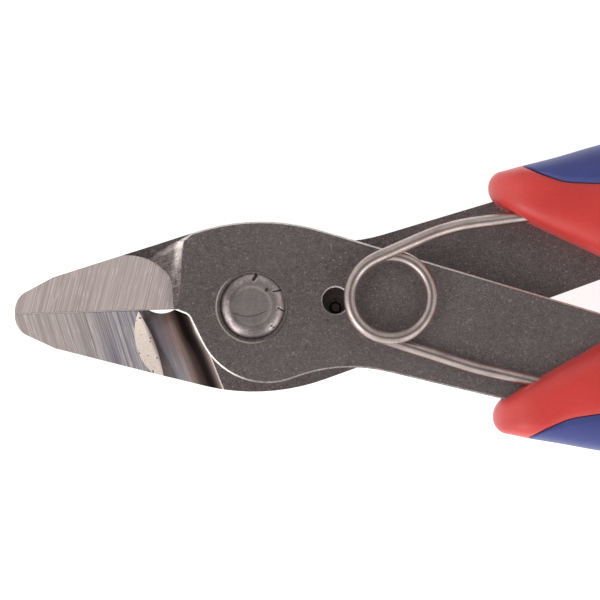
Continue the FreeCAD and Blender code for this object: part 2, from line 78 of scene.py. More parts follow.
# Rivet
HEAD_X, HEAD_Y = 0.18, 0.20    # the upset head sits a little off the pivot's axis
HEAD_R = 3.14
HEAD_TALL = 1.05               # the head is this much taller than it is wide
HEAD_TOP = 3.19
CROWN_R, CROWN_DROP = 1.70, 0.62   # where the head begins to fall away, and how far it falls
RIM_SHARE = 0.75               # share of the head's offset that its rim still has
SEAT_R, SEAT_Z = 2.92, 2.43
SHANK_R, SHANK_Z = 2.5, 1.9
BACK_HEAD_R, BACK_FLAT_R = 2.9, 2.25
BACK_RIM_Z, BACK_ROUND_Z = 2.62, 2.70   # the back head's rim, and where it turns in
BACK_TOP = 3.19
BACK_DISH = 0.05
PUNCH_X, PUNCH_Y, PUNCH_R, PUNCH_DEPTH = -0.10, 0.10, 1.95, 0.045
CENTRE_R = 0.02                # radius of the smallest ring round a head's centre
HEAD_POINTS = 288              # points round each ring

# Levers
GROOVE_LEAN = 70.0             # the groove behind the lower jaw lies at this angle to the X axis
GROOVE_U, GROOVE_Z, GROOVE_R = 6.72, 3.60, 3.85   # the groove's axis from the pivot and up, and its radius
CREASE = ((-9.5, 4.87), (-6.15, 6.56))   # crease between the shoulder and the rim
CREST_BALL, CREST_BALL_R = (-5.98, -1.73, 12.81), 12.0   # the dish's centre and radius
GRIND_LEAN = 74.0              # angle of the grinding marks to the X axis, mirrored on the lower jaw
WINDOW_X, WINDOW_Y, WINDOW_R = 7.95, 0.37, 1.3
SINK_R, SINK_EDGE_R = 3.37, 3.49   # the countersink's wall and its broken edge
SINK_TOP_Z = 2.9               # where the wall ends and the broken edge begins
SHOULDER_X = (-13.0, -5.0)     # the shoulder between plate and upper jaw lies between these,
SHOULDER_Z = (0.9, PLATE)      # and between these heights
SHOULDER_FOOT_Y = 0.5          # on this side of the X axis
JAW_X = -3.2                   # behind this a lever is tumbled all over, apart from its edges and holes
GROUND_Z = 1.9                 # the ground faces beside the cutting edges lie above this height
BEVEL_X = -8.0                 # the bevels on the back of the jaws lie beyond this
TANG_SLOPE = 0.30              # the tang falls away from the X axis by this much per millimetre

# Spring
WIRE_R = 0.585
WIRE_POINTS, WIRE_STEP = 28, 0.35   # points round the wire, and the spacing of its rings
LOOP_X, LOOP_Y, LOOP_R = 13.2, 0.56, 3.95
LOOP_PITCH = 1.22
LOOP_LOW_Z = 3.65
LOOP_STEPS = 90
UPPER_LEG_ANGLE, LOWER_LEG_ANGLE = 22.0, 19.5   # directions in which the legs leave the loop
LEG_BEND_R = 18.0
UPPER_LEG = [(18.9, 7.1, 4.3), (33.0, 8.5, 2.6)]          # where a leg bends, and where it ends
LOWER_LEG = [(21.0, -6.38, 3.65), (33.0, -9.5, 3.65)]

# Grips, as on the upper handle
GRIP_X0, GRIP_X1 = 22.85, 102.6
NOSE_Y, TAIL_Y = 10.6, 9.6
NOSE_TIP, NOSE_ROUND = 1.1, 6.0     # the nose is rounded over these lengths, in plan and in height
TAIL_ROUND = 4.5                    # and the far end over this one
NOSE_POWER, GRIP_POWER = 4.4, 2.7   # exponent of the superellipse that a section is, at the nose and behind
POWER_X = (27.0, 44.0)              # and where it changes from the one to the other
SEAM_X0 = 26.0
SEAM_GAP = 0.05
LIP_WIDTH, LIP_DEPTH = 0.45, 0.22
SKIN, SKIN_GAP = 1.1, 0.1     # how deep the overlay sits, and the gap under it
LOWER_DROP = 0.6              # the lower nose stands this much further out
LOWER_LEAD = 0.2              # and this much further forward
LOWER_DROP_X = (26.0, 42.0)   # which fades away between these
CORE_STATIONS, CORE_POINTS, UNDER_POINTS = 181, 161, 33   # rings along a piece, and points round each
OVERLAY_STATIONS, OVERLAY_POINTS = 161, 73

# Stage, in metres and watts
FLOOR_HALF, FLOOR_GAP = 1.6, 0.00002
SHADE_HALF_ANGLE, SKY_HALF_ANGLE = 9.0, 34.0   # from straight up: to here it is dark, from here on bright
SHADE_LIGHT, SKY_LIGHT = 0.07, 0.95
SKY_LEAN_X, SKY_LEAN_Y = -0.30, -0.45          # share by which light from the side grows to +X and +Y
SOFTBOXES = [    # name, place, size, power
    ("softbox_left", (-0.50, -0.40, 0.40), 0.30, 1.6),
    ("softbox_right", (0.40, -0.50, 0.42), 0.35, 0.7),
]


# ---------------------------------------------------------------- node trees

class Graph:
    """A node tree, with short ways to add nodes to it. A value may be a constant or another output."""

    def __init__(self, tree):
        self.tree = tree
        self.tree.nodes.clear()

    def add(self, kind, inputs, **settings):
        node = self.tree.nodes.new(kind)
        for name, value in settings.items():
            setattr(node, name, value)
        for key, value in inputs.items():
            self.put(node.inputs[key], value)
        return node

    def put(self, socket, value):
        if isinstance(value, bpy.types.NodeSocket):
            self.tree.links.new(value, socket)
        else:
            socket.default_value = value

    def calc(self, operation, *values, clamp=False):
        inputs = dict(enumerate(values))
        return self.add("ShaderNodeMath", inputs, operation=operation, use_clamp=clamp).outputs[0]

    def plus(self, *values):
        total = values[0]
        for value in values[1:]:
            total = self.calc("ADD", total, value)
        return total

    def times(self, a, b):
        return self.calc("MULTIPLY", a, b)

    def fit(self, value, low, high, to_low=0.0, to_high=1.0, smooth=False):
        inputs = {0: value, 1: low, 2: high, 3: to_low, 4: to_high}
        kind = "SMOOTHSTEP" if smooth else "LINEAR"
        return self.add("ShaderNodeMapRange", inputs, interpolation_type=kind).outputs[0]

    def place(self):
        """Position on the piece at rest, in millimetres."""
        point = self.add("ShaderNodeTexCoord", {}).outputs["Object"]
        return self.stretch(point, (1 / MM, 1 / MM, 1 / MM))

    def split(self, vector):
        return self.add("ShaderNodeSeparateXYZ", {0: vector}).outputs

    def join(self, x, y, z=0.0):
        return self.add("ShaderNodeCombineXYZ", {0: x, 1: y, 2: z}).outputs[0]

    def stretch(self, vector, factors):
        inputs = {0: vector, 1: factors}
        return self.add("ShaderNodeVectorMath", inputs, operation="MULTIPLY").outputs[0]

    def turn(self, vector, degrees):
        inputs = {"Vector": vector, "Angle": math.radians(degrees)}
        return self.add("ShaderNodeVectorRotate", inputs, rotation_type="Z_AXIS").outputs[0]

    def noise(self, vector, scale, detail=2.0, roughness=0.5):
        inputs = {"Vector": vector, "Scale": scale, "Detail": detail, "Roughness": roughness}
        return self.add("ShaderNodeTexNoise", inputs).outputs[0]

    def streaks(self, vector, degrees, length, width, low, high):
        """Thin marks that lie at an angle to the X axis: 1 on a mark, 0 off it."""
        along = self.turn(vector, -degrees)
        cells = self.stretch(along, (1 / length, 1 / width, 1 / width))
        return self.fit(self.noise(cells, 1.0, 0.0), low, high)

    def mix(self, factor, a, b):
        node = self.add("ShaderNodeMix", {0: factor}, data_type="RGBA")
        self.put(node.inputs[6], a)
        self.put(node.inputs[7], b)
        return node.outputs[2]

    def ramp(self, value, stops):
        """A colour that changes smoothly with a value. Each stop is a value and its colour."""
        low, high = stops[0][0], stops[-1][0]
        node = self.add("ShaderNodeValToRGB", {0: self.fit(value, low, high)})
        points = node.color_ramp.elements
        while len(points) < len(stops):
            points.new(1.0)
        for point, (at, colour) in zip(points, stops):
            point.position = (at - low) / (high - low)
            point.color = colour
        return node.outputs[0]

    def bump(self, height, depth, normal=None):
        """A bump of the given depth in millimetres."""
        inputs = {"Height": height, "Distance": depth * MM, "Strength": 1.0}
        if normal is not None:
            inputs["Normal"] = normal
        return self.add("ShaderNodeBump", inputs).outputs[0]

    def shader(self, colour, roughness, normal, **constants):
        inputs = {"Base Color": colour, "Roughness": roughness, "Normal": normal}
        inputs.update({name.replace("_", " "): value for name, value in constants.items()})
        surface = self.add("ShaderNodeBsdfPrincipled", inputs)
        self.add("ShaderNodeOutputMaterial", {"Surface": surface.outputs[0]})


def srgb(red, green, blue):
    """A colour given as 0 to 255 display values, as linear RGBA."""
    linear = [((c / 255 + 0.055) / 1.055) ** 2.4 for c in (red, green, blue)]
    return (*linear, 1.0)


def new_material(name):
    material = bpy.data.materials.new(name)
    material.use_nodes = True
    return material, Graph(material.node_tree)


# ---------------------------------------------------------------- materials

# Painted reflection in the groove: its colour against the distance from the pivot, square to it. Light and
# dark bands stand in for the studio mirrored in the curved wall, the bright stops at both ends for highlights
# on its edges.
GROOVE_PAINTED_REFLECTION = [
    (5.40, srgb(255, 240, 232)),
    (5.58, srgb(150, 134, 130)),
    (5.85, srgb(96, 82, 80)),
    (6.20, srgb(58, 50, 48)),
    (6.60, srgb(74, 61, 59)),
    (6.85, srgb(128, 106, 102)),
    (7.40, srgb(176, 150, 142)),
    (7.90, srgb(170, 154, 150)),
    (8.50, srgb(174, 172, 177)),
    (9.00, srgb(200, 204, 212)),
    (9.35, srgb(166, 170, 178)),
    (9.80, srgb(214, 206, 206)),
    (10.05, srgb(255, 246, 240)),
]


def tumbled_steel():
    """Flat faces of the levers: dull brown-grey, finely grained, with a few short scratches every way."""
    material, g = new_material("tumbled_steel")
    place = g.place()
    grain = g.noise(place, 6.5, 3.0, 0.6)
    fine = g.noise(place, 12.0, 1.0)
    mottle = g.noise(place, 1.6, 2.0)
    cloud = g.noise(place, 0.09, 2.0)
    marks = 0.0
    for angle in (14, 52, 97, 128, 165):
        marks = g.plus(marks, g.streaks(place, angle, 1.1, 0.07, 0.70, 0.80))
    speck = g.fit(g.noise(place, 4.6, 0.0), 0.70, 0.80)
    pits = g.fit(g.noise(place, 3.1, 0.0), 0.26, 0.18)
    tone = g.plus(
        g.fit(grain, 0.25, 0.75, 0.04, 0.30),
        g.fit(fine, 0.3, 0.7, -0.12, 0.20),
        g.fit(mottle, 0.3, 0.7, -0.03, 0.03),
        g.fit(cloud, 0.3, 0.7, -0.04, 0.06),
        g.times(marks, 0.22),
        g.times(speck, 0.50),
        g.times(pits, -0.16),
    )
    colour = g.mix(tone, srgb(94, 85, 87), srgb(198, 183, 182))
    roughness = g.fit(tone, 0.0, 1.0, 0.48, 0.38)
    height = g.plus(grain, g.times(marks, -0.5), g.times(pits, -0.8))
    g.shader(colour, roughness, g.bump(height, 0.004), Metallic=1.0)
    return material


def ground_steel(name, lean, cool):
    """Ground faces beside the cutting edges, with scratches that all lean one way.

    A cool one gets a bluish, streaky painted reflection towards its rear.
    """
    material, g = new_material(name)
    place = g.place()
    x, y, _ = g.split(place)
    lines = g.turn(place, -lean)
    fine = g.noise(g.stretch(lines, (0.06, 12.0, 0.0)), 1.0, 1.0)
    wide = g.noise(g.stretch(lines, (0.03, 4.0, 0.0)), 1.0, 1.0)
    broad = g.noise(g.stretch(lines, (0.02, 0.9, 0.0)), 1.0, 2.0)
    bright = g.streaks(place, lean, 60.0, 0.09, 0.70, 0.80)
    # painted shade: a dark line along the cutting edge, where the jaws meet
    jaw_gap_shade = g.fit(g.calc("ABSOLUTE", y), 0.10, 0.03)
    # painted reflection: bluish and streaky towards the rear of a cool face
    rear = g.times(g.fit(x, -18.0, -12.5, smooth=True), cool)
    tone = g.plus(
        g.fit(fine, 0.3, 0.7, 0.00, 0.50),
        g.fit(wide, 0.3, 0.7, -0.06, 0.16),
        g.fit(broad, 0.3, 0.7, -0.04, 0.04),
        g.times(rear, g.fit(wide, 0.3, 0.7, -0.12, 0.12)),
        g.times(rear, g.fit(broad, 0.3, 0.7, -0.24, 0.20)),
        g.times(bright, 0.45),
        g.times(jaw_gap_shade, -0.9),
    )
    dark = g.mix(rear, srgb(172, 157, 153), srgb(122, 122, 136))
    colour = g.mix(tone, dark, srgb(255, 244, 240))
    height = g.plus(fine, g.times(wide, 1.2), g.times(bright, 1.0))
    g.shader(colour, g.fit(tone, 0.0, 1.0, 0.58, 0.48), g.bump(height, 0.008), Metallic=1.0)
    return material


def groove_place(g):
    """Distance from the pivot square to the groove, and distance along the groove, on either lever."""
    lean = math.radians(GROOVE_LEAN)
    x, y, _ = g.split(g.place())
    out = g.calc("ABSOLUTE", y)
    across = g.plus(g.times(x, -math.sin(lean)), g.times(out, math.cos(lean)))
    along = g.plus(g.times(x, math.cos(lean)), g.times(out, math.sin(lean)))
    return across, along


def milled_steel():
    """The groove behind the jaws: burnished along its length, with painted reflection in bands across it,
    dark in its corner and bright at its ends.
    """
    material, g = new_material("milled_steel")
    across, along = groove_place(g)
    lines = g.noise(g.join(g.times(across, 7.0), g.times(along, 0.16)), 1.0, 2.0)
    wide = g.noise(g.join(g.times(across, 1.8), g.times(along, 0.12)), 1.0, 1.0)
    grain = g.noise(g.place(), 7.0, 2.0)
    shift = g.plus(g.fit(along, 2.2, 0.2, 0.0, -0.35), g.fit(wide, 0.3, 0.7, -0.10, 0.10))
    # painted reflection: bands of light and dark across the groove, shifted a little along it
    painted_reflection = g.ramp(g.plus(across, g.times(shift, g.fit(across, 5.5, 5.8))), GROOVE_PAINTED_REFLECTION)
    tone = g.plus(g.fit(lines, 0.3, 0.7, 0.78, 1.08), g.fit(grain, 0.3, 0.7, -0.05, 0.05))
    colour = g.mix(tone, srgb(20, 16, 15), painted_reflection)
    height = g.plus(lines, g.times(grain, 0.3))
    g.shader(colour, g.fit(tone, 0.7, 1.1, 0.36, 0.26), g.bump(height, 0.002), Metallic=1.0)
    return material


def crest_steel():
    """The dish that breaks the groove's upper edge: bright, with small dark pits, and painted shade darkening
    it towards the groove.
    """
    material, g = new_material("crest_steel")
    across, _ = groove_place(g)
    place = g.place()
    grain = g.noise(place, 8.0, 2.0)
    pits = g.fit(g.noise(place, 3.6, 0.0), 0.25, 0.20)
    tone = g.plus(g.fit(grain, 0.3, 0.7, 0.75, 1.05), g.times(pits, -1.2))
    colour = g.mix(tone, srgb(120, 98, 88), srgb(255, 240, 230))
    # painted shade where the dish rounds over into the groove
    colour = g.mix(g.fit(across, 10.35, 9.85, 0.0, 0.8, smooth=True), colour, srgb(110, 98, 98))
    height = g.plus(grain, g.times(pits, -2.0))
    g.shader(colour, g.fit(tone, 0.0, 1.0, 0.46, 0.36), g.bump(height, 0.003), Metallic=1.0)
    return material


def sink_edge():
    """Broken edge of the countersink, with a painted highlight on the side towards the jaws."""
    material, g = new_material("sink_edge")
    place = g.place()
    x, y, _ = g.split(place)
    grain = g.fit(g.noise(place, 4.0, 3.0), 0.3, 0.7)
    # painted highlight, brighter towards -X and -Y
    highlight_mask = g.fit(g.plus(g.times(x, 0.8), g.times(y, 0.5)), 0.6, -2.4, smooth=True)
    colour = g.mix(highlight_mask, srgb(74, 66, 66), srgb(172, 162, 158))
    g.shader(colour, g.fit(grain, 0.0, 1.0, 0.56, 0.46), g.bump(grain, 0.004), Metallic=0.6)
    return material


def edge_painted_highlight():
    """Broken edges of the plates, with a painted highlight towards the jaws and along the inner side of the
    tang.
    """
    material, g = new_material("edge_painted_highlight")
    place = g.place()
    x, y, _ = g.split(place)
    grain = g.fit(g.noise(place, 4.0, 3.0), 0.3, 0.7)
    # painted highlight on the edges near the jaws and along the tang's inner side
    inner = g.fit(g.plus(y, g.times(x, TANG_SLOPE)), 0.5, 4.0)
    throat = g.times(g.fit(x, -3.4, 0.4, 1.0, 0.0, smooth=True), g.fit(y, 3.0, 1.0))
    highlight_mask = g.calc("MAXIMUM", throat, g.times(inner, 0.6))
    bright = g.mix(grain, srgb(224, 214, 210), srgb(255, 252, 250))
    dull = g.mix(grain, srgb(104, 96, 96), srgb(164, 154, 151))
    colour = g.mix(highlight_mask, dull, bright)
    g.shader(colour, g.fit(grain, 0.0, 1.0, 0.56, 0.46), g.bump(grain, 0.004), Metallic=0.45)
    return material


def crease_painted_highlight(g):
    """Painted highlight along the crease between shoulder and rim: 1 on it, fading to both sides and to its
    front end.
    """
    (ax, ay), (bx, by) = CREASE
    length = math.hypot(bx - ax, by - ay)
    x, y, _ = g.split(g.place())
    off = g.plus(g.times(x, (ay - by) / length), g.times(y, (bx - ax) / length))
    off = g.plus(off, ((by - ay) * ax - (bx - ax) * ay) / length)
    near = g.fit(g.calc("ABSOLUTE", g.plus(off, 0.08)), 0.42, 0.0, smooth=True)
    return g.times(near, g.fit(x, -9.6, -6.9, smooth=True))


def step_painted_highlight(g):
    """Painted highlight on the rounded step beside the plate, brightest at its upper end."""
    x, y, _ = g.split(g.place())
    top_x, top_y = CREASE[1]
    down = g.calc("SUBTRACT", top_y, y)
    out = g.plus(g.calc("SUBTRACT", top_x, x), g.times(down, -0.22))
    band = g.times(g.fit(out, -0.15, 0.40, smooth=True), g.fit(out, 1.05, 0.50, smooth=True))
    return g.times(band, g.fit(down, 4.4, 0.6, smooth=True))


def shoulder_steel():
    """The shoulder between plate and jaw: tumbled, with painted highlights on its step and along its crease.
    """
    material, g = new_material("shoulder_steel")
    place = g.place()
    grain = g.noise(place, 5.5, 3.0, 0.6)
    brushed = g.streaks(place, 12.0, 1.6, 0.09, 0.35, 0.75)
    hammered = g.noise(place, 1.4, 2.0)
    # painted highlights on the step and along the crease
    glow = g.plus(g.times(crease_painted_highlight(g), 0.40), g.times(step_painted_highlight(g), 0.62))
    tone = g.plus(
        g.fit(grain, 0.25, 0.75, -0.02, 0.22),
        g.fit(brushed, 0.0, 1.0, -0.04, 0.10),
        g.fit(hammered, 0.3, 0.7, -0.06, 0.06),
        g.times(glow, g.fit(brushed, 0.0, 1.0, 0.8, 1.1)),
    )
    colour = g.mix(tone, srgb(96, 84, 85), srgb(255, 242, 236))
    height = g.plus(g.times(grain, 0.5), g.times(hammered, 1.6))
    g.shader(colour, g.fit(tone, 0.0, 1.0, 0.50, 0.40), g.bump(height, 0.006), Metallic=1.0)
    return material


def rim_steel():
    """The forged rim outside the shoulder: dark, with the crease's painted highlight along it."""
    material, g = new_material("rim_steel")
    place = g.place()
    grain = g.noise(place, 5.5, 3.0)
    scale = g.noise(place, 1.5, 2.0)
    tone = g.plus(g.fit(grain, 0.3, 0.7, 0.0, 0.5), g.fit(scale, 0.3, 0.7, -0.1, 0.3))
    colour = g.mix(tone, srgb(58, 52, 54), srgb(112, 103, 104))
    # painted highlight along the crease
    colour = g.mix(g.times(crease_painted_highlight(g), 0.5), colour, srgb(220, 208, 202))
    g.shader(colour, g.fit(tone, 0.0, 1.0, 0.50, 0.38), g.bump(grain, 0.005), Metallic=1.0)
    return material


def bore_steel(name, dark, light):
    """Wall of the countersink or of the window, dull; the window's wall gets dark colours as painted shade
    inside the hole.
    """
    material, g = new_material(name)
    place = g.place()
    grain = g.noise(place, 6.0, 2.0)
    colour = g.mix(g.fit(grain, 0.3, 0.7), dark, light)
    g.shader(colour, g.fit(grain, 0.2, 0.8, 0.45, 0.33), g.bump(grain, 0.003), Metallic=0.7)
    return material


def rivet_steel():
    """The upset head: struck smooth, faintly stained, dark where it is cracked or pitted and where painted
    shade lies on its rim and side.
    """
    material, g = new_material("rivet_steel")
    place = g.place()
    grain = g.noise(place, 5.0, 3.0)
    stain = g.noise(place, 0.7, 2.0)
    brushed = g.streaks(place, 84.0, 1.4, 0.10, 0.45, 0.8)
    marks = g.add("ShaderNodeAttribute", {}, attribute_name="marks").outputs["Fac"]
    tone = g.plus(
        g.fit(grain, 0.3, 0.7, 0.3, 0.55),
        g.fit(stain, 0.3, 0.7, -0.12, 0.12),
        g.times(brushed, 0.12),
        g.times(marks, -1.2),
    )
    clean = g.mix(tone, srgb(132, 121, 124), srgb(246, 232, 228))
    # the marks attribute carries cracks, pits, the scratch and painted shade
    colour = g.mix(g.times(marks, 0.9), clean, srgb(46, 40, 42))
    height = g.plus(g.times(grain, 0.6), g.times(stain, 3.0))
    g.shader(colour, g.fit(tone, 0.0, 1.0, 0.40, 0.30), g.bump(height, 0.005), Metallic=1.0)
    return material


def pin_steel():
    """The stop pin, coloured dark as painted shade deep in the window."""
    material, g = new_material("pin_steel")
    place = g.place()
    grain = g.noise(place, 8.0, 3.0)
    # painted shade: the pin is as dark as the bottom of the window
    colour = g.mix(grain, srgb(60, 52, 52), srgb(112, 102, 100))
    g.shader(colour, g.fit(grain, 0.2, 0.8, 0.45, 0.32), g.bump(grain, 0.005), Metallic=1.0)
    return material


def spring_wire():
    """Drawn wire, with fine lines that run along it."""
    material, g = new_material("spring_wire")
    run = g.add("ShaderNodeUVMap", {}, uv_map="run").outputs[0]
    lines = g.noise(g.stretch(run, (0.35, 5.0, 1.0)), 1.0, 3.0)
    place = g.place()
    grain = g.noise(place, 6.0, 2.0)
    dull = g.noise(place, 0.8, 2.0)
    tone = g.plus(
        g.fit(lines, 0.3, 0.7, 0.1, 0.6),
        g.fit(grain, 0.3, 0.7, -0.1, 0.15),
        g.fit(dull, 0.3, 0.7, -0.12, 0.12),
    )
    colour = g.mix(tone, srgb(146, 132, 128), srgb(214, 200, 194))
    height = g.plus(lines, g.times(grain, 0.4))
    g.shader(colour, g.fit(tone, 0.0, 1.0, 0.40, 0.28), g.bump(height, 0.004), Metallic=1.0)
    return material


def moulded_grip(name, dark, light, roughness, sheen):
    """Moulded handle plastic with a fine spark-eroded grain."""
    material, g = new_material(name)
    place = g.place()
    grain = g.noise(place, 4.5, 3.0)
    cloud = g.noise(place, 0.16, 2.0)
    rub = g.streaks(place, 12.0, 3.0, 0.12, 0.74, 0.82)
    tone = g.plus(g.fit(cloud, 0.3, 0.7, 0.2, 0.7), g.fit(grain, 0.3, 0.7, -0.12, 0.12), g.times(rub, 0.2))
    colour = g.mix(tone, dark, light)
    height = g.plus(grain, g.times(rub, -0.3))
    rough = g.fit(tone, 0.0, 1.0, roughness + 0.06, roughness - 0.05)
    g.shader(colour, rough, g.bump(height, 0.012), Sheen_Weight=sheen, Sheen_Roughness=0.5)
    return material


# ---------------------------------------------------------------- mesh building

def mesh_piece(name, vertices, faces, material, sharp=38.0):
    """A smooth-shaded mesh piece. Vertices are in millimetres."""
    mesh = bpy.data.meshes.new(name)
    mesh.from_pydata([tuple(v) for v in np.asarray(vertices) * MM], [], faces)
    work = bmesh.new()
    work.from_mesh(mesh)
    bmesh.ops.remove_doubles(work, verts=work.verts, dist=0.0005 * MM)
    bmesh.ops.dissolve_degenerate(work, edges=work.edges, dist=0.0005 * MM)
    bmesh.ops.recalc_face_normals(work, faces=work.faces)
    work.to_mesh(mesh)
    work.free()
    mesh.shade_smooth()
    mesh.set_sharp_from_angle(angle=math.radians(sharp))
    mesh.materials.append(material)
    piece = bpy.data.objects.new(name, mesh)
    bpy.context.scene.collection.objects.link(piece)
    return piece


def skin_faces(rings, points):
    """Quads between neighbouring rings of points, and a cap on the first and last ring."""
    faces = []
    for i in range(rings - 1):
        for j in range(points):
            k = (j + 1) % points
            a, b = i * points, (i + 1) * points
            faces.append((a + j, a + k, b + k, b + j))
    last = (rings - 1) * points
    faces.append(tuple(range(points))[::-1])
    faces.append(tuple(range(last, last + points)))
    return faces


def smoothstep(value, low, high):
    t = np.clip((value - low) / (high - low), 0, 1)
    return t * t * (3 - 2 * t)


def quarter_round(t):
    """Rises from 0 to 1 like a quarter of a circle."""
    t = np.clip(t, 0, 1)
    return np.sqrt(1 - (1 - t) ** 2)


def nose_round(t):
    """Rises from 0 to 1 like a quarter round that flattens out slowly."""
    t = np.clip(t, 0, 1)
    return np.sqrt(1 - (1 - t) ** 4)


def through(*points):
    """A smooth function of x through some points, which doesn't overshoot between them."""
    xs, ys = np.array(points, float).T
    step = np.diff(xs)
    slope = np.diff(ys) / step
    tangent = np.concatenate([slope[:1], np.zeros(len(xs) - 2), slope[-1:]])
    same = slope[:-1] * slope[1:] > 0
    mean = 2 * slope[:-1] * slope[1:] / np.where(same, slope[:-1] + slope[1:], 1)
    tangent[1:-1] = np.where(same, mean, 0)

    def value(x):
        i = np.clip(np.searchsorted(xs, x) - 1, 0, len(step) - 1)
        t = np.clip((x - xs[i]) / step[i], 0, 1)
        rise = ys[i + 1] - ys[i]
        curve = t * t * (3 - 2 * t)
        start = t * (1 - t) ** 2 * step[i] * tangent[i]
        end = t * t * (t - 1) * step[i] * tangent[i + 1]
        return ys[i] + rise * curve + start + end

    return value


# ---------------------------------------------------------------- rivet

def dent(x, y, points, width):
    """How near a place is to a line through some points: 1 on it, falling to 0 over its width."""
    nearest = np.full(np.shape(x), 1e9)
    for (ax, ay), (bx, by) in zip(points[:-1], points[1:]):
        dx, dy = bx - ax, by - ay
        t = np.clip(((x - ax) * dx + (y - ay) * dy) / (dx * dx + dy * dy), 0, 1)
        nearest = np.minimum(nearest, np.hypot(x - ax - t * dx, y - ay - t * dy))
    return np.exp(-((nearest / width) ** 2))


def head_relief(x, y):
    """Height of the marks struck into the rivet's head, and how dark each place is, painted shade included.

    They are the punch's flat, three cracks in the rim, a few pits and a curved scratch, with patches and a
    ring of painted shade on the rim.
    """
    from_punch = np.hypot(x - PUNCH_X, (y - PUNCH_Y) * 1.04)
    flat = 1 - smoothstep(from_punch, PUNCH_R - 0.30, PUNCH_R + 0.22)
    relief = -PUNCH_DEPTH * flat
    cracks = [    # course, width, depth
        ([(0.55, 3.35), (0.46, 2.95), (0.22, 2.60)], 0.13, 0.20),
        ([(2.95, 1.55), (2.55, 1.50), (2.06, 1.42)], 0.08, 0.12),
        ([(2.45, -0.14), (3.05, -0.46)], 0.06, 0.10),
    ]
    pits = [(1.43, 1.59, 0.14), (1.78, -1.84, 0.09), (1.99, -2.03, 0.08)]
    # painted shade: dark patches on the head's rim
    shade_patches = [(-2.1, 1.5, 0.9, 0.16), (0.3, -2.5, 0.9, 0.20), (-2.2, -1.4, 0.7, 0.10)]   # x, y, width, dark
    scratch = [(-1.76, -0.52), (-1.1, -0.78), (-0.37, -0.89), (0.5, -0.76), (1.34, -0.43)]
    scratched = dent(x, y, scratch, 0.06)
    relief = relief - 0.008 * scratched
    # the scratch is darkened, and the head's outer ring gets painted shade
    dark = 0.35 * scratched + 0.15 * smoothstep(np.hypot(x - HEAD_X, y - HEAD_Y), 1.9, 2.5)
    for px, py, width, strength in shade_patches:
        dark = dark + strength * dent(x, y, [(px, py), (px + 0.2, py)], width)
    for line, width, depth in cracks:
        mark = dent(x, y, line, width)
        relief, dark = relief - depth * mark, np.maximum(dark, mark)
    for px, py, width in pits:
        mark = dent(x, y, [(px, py), (px + 0.03, py + 0.02)], width)
        relief, dark = relief - 0.03 * mark, np.maximum(dark, mark)
    return relief, dark


def rivet_rings():
    """Radius, height and share of the head's offset of each ring, from the front's centre to the back's."""
    rings = [(r, HEAD_TOP, 1.0) for r in np.linspace(CENTRE_R, CROWN_R, 36)]
    for t in np.linspace(0, 1, 26)[1:]:
        share = 1 - (1 - RIM_SHARE) * smoothstep(t, 0.35, 1.0)
        rings.append((CROWN_R + (HEAD_R - CROWN_R) * t, HEAD_TOP - CROWN_DROP * t ** 3, share))
    rings += [(SEAT_R, SEAT_Z + 0.02, 0.1), (SEAT_R, SEAT_Z, 0.0)]
    rings += [(SHANK_R, SHANK_Z, 0.0), (SHANK_R, -SHANK_Z, 0.0), (SEAT_R, -SEAT_Z, 0.0)]
    rings += [(BACK_HEAD_R, -BACK_RIM_Z, 0.0)]
    for turn in np.linspace(0, math.pi / 2, 10):
        r = BACK_FLAT_R + (BACK_HEAD_R - BACK_FLAT_R) * math.cos(turn)
        rings.append((r, -BACK_ROUND_Z - (BACK_TOP - BACK_ROUND_Z) * math.sin(turn), 0.0))
    for r in np.linspace(BACK_FLAT_R - 0.15, CENTRE_R, 16):
        rings.append((r, -BACK_TOP + BACK_DISH * (1 - r / BACK_FLAT_R), 0.0))
    return np.array(rings)


def darken_marks_and_shade(piece):
    """Stores on the rivet's mesh how dark each place of its front head is, with painted shade down its steep
    side.
    """
    mesh = piece.data
    places = np.empty(len(mesh.vertices) * 3)
    mesh.vertices.foreach_get("co", places)
    x, y, z = places.reshape(-1, 3).T / MM
    _, dark = head_relief(x, y)
    fall = HEAD_TOP - CROWN_DROP
    # painted shade down the head's steep side, which sits in the countersink
    dark = np.maximum(dark, 0.55 * (1 - smoothstep(z, fall, fall + 0.30)))
    marks = mesh.attributes.new("marks", "FLOAT", "POINT")
    marks.data.foreach_set("value", np.where(z > SEAT_Z, dark, 0.0).astype(np.float32))


def make_rivet(material):
    rings = rivet_rings()
    angle = np.linspace(0, 2 * math.pi, HEAD_POINTS, endpoint=False)
    r, z, share = (column[:, None] for column in rings.T)
    wobble = 1 + 0.012 * np.sin(2 * angle + 0.6) + 0.006 * np.sin(5 * angle)
    wobble = np.where((z > SEAT_Z + 0.1) & (r > 2.0), wobble, 1.0)
    x = r * wobble * np.cos(angle) + HEAD_X * share
    y = r * wobble * np.sin(angle) * (1 + (HEAD_TALL - 1) * share) + HEAD_Y * share
    top = smoothstep(z, SEAT_Z, SEAT_Z + 0.2)
    relief, _ = head_relief(x, y)
    vertices = np.stack([x, y, z + top * relief], axis=-1).reshape(-1, 3)
    piece = mesh_piece("rivet_body", vertices, skin_faces(len(rings), HEAD_POINTS), material, 50.0)
    darken_marks_and_shade(piece)
    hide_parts("pivot_rivet")
    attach(piece, "front_half")


# ---------------------------------------------------------------- spring

def run_points(a, b):
    """Points along a straight run, without the last."""
    count = max(2, round(np.linalg.norm(b - a) / WIRE_STEP))
    return [a + (b - a) * i / count for i in range(count)]


